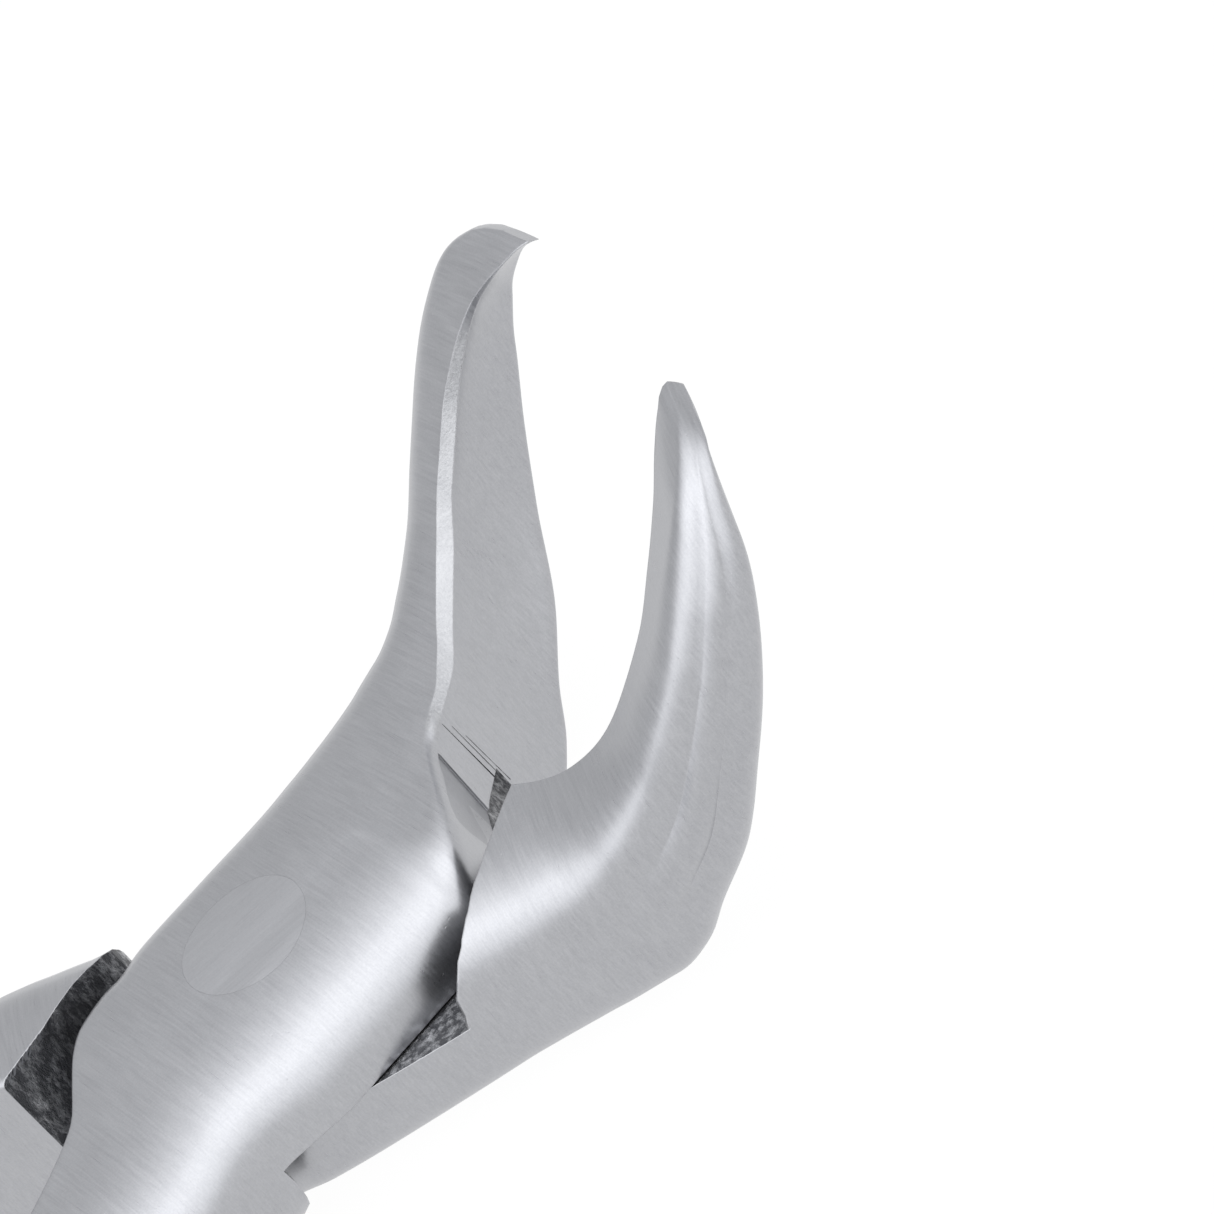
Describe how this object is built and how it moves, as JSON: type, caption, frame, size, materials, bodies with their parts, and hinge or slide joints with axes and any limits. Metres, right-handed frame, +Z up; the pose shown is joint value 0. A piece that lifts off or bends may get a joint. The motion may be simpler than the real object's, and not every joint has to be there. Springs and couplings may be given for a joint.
{
  "type": "extraction forceps",
  "caption": "Two-handled dental forceps for lower teeth, with a lap joint on a flush rivet and beaks that curve up out of the plane of opening.",
  "frame": {"origin": "on the pivot axis, at the flat underside of the joint that the tool lies on", "axes": "+X forward from the pivot towards the beak tips, handles towards -X; +Z up along the pivot axis, the side that the beaks curve to; +Y completes the right-handed frame, and the two halves lie mirrored about the XZ plane at rest"},
  "size_m": [0.1514, 0.078, 0.0214],
  "materials": {
    "satin_steel": "satin, fine grinding lines along and across the forging",
    "rivet_steel": "satin, ground flush with the joint face"
  },
  "bodies": {
    "lower_body": {"lower_half": "satin_steel", "pivot_rivet": "rivet_steel"},
    "upper_body": {"upper_half": "satin_steel"}
  },
  "joints": [
    {"name": "pivot", "type": "hinge", "parent": "lower_body", "child": "upper_body", "pos_m": [0, 0, 0.0046], "axis": [0, 0, 1], "range_deg": [-25, 7]}
  ]
}
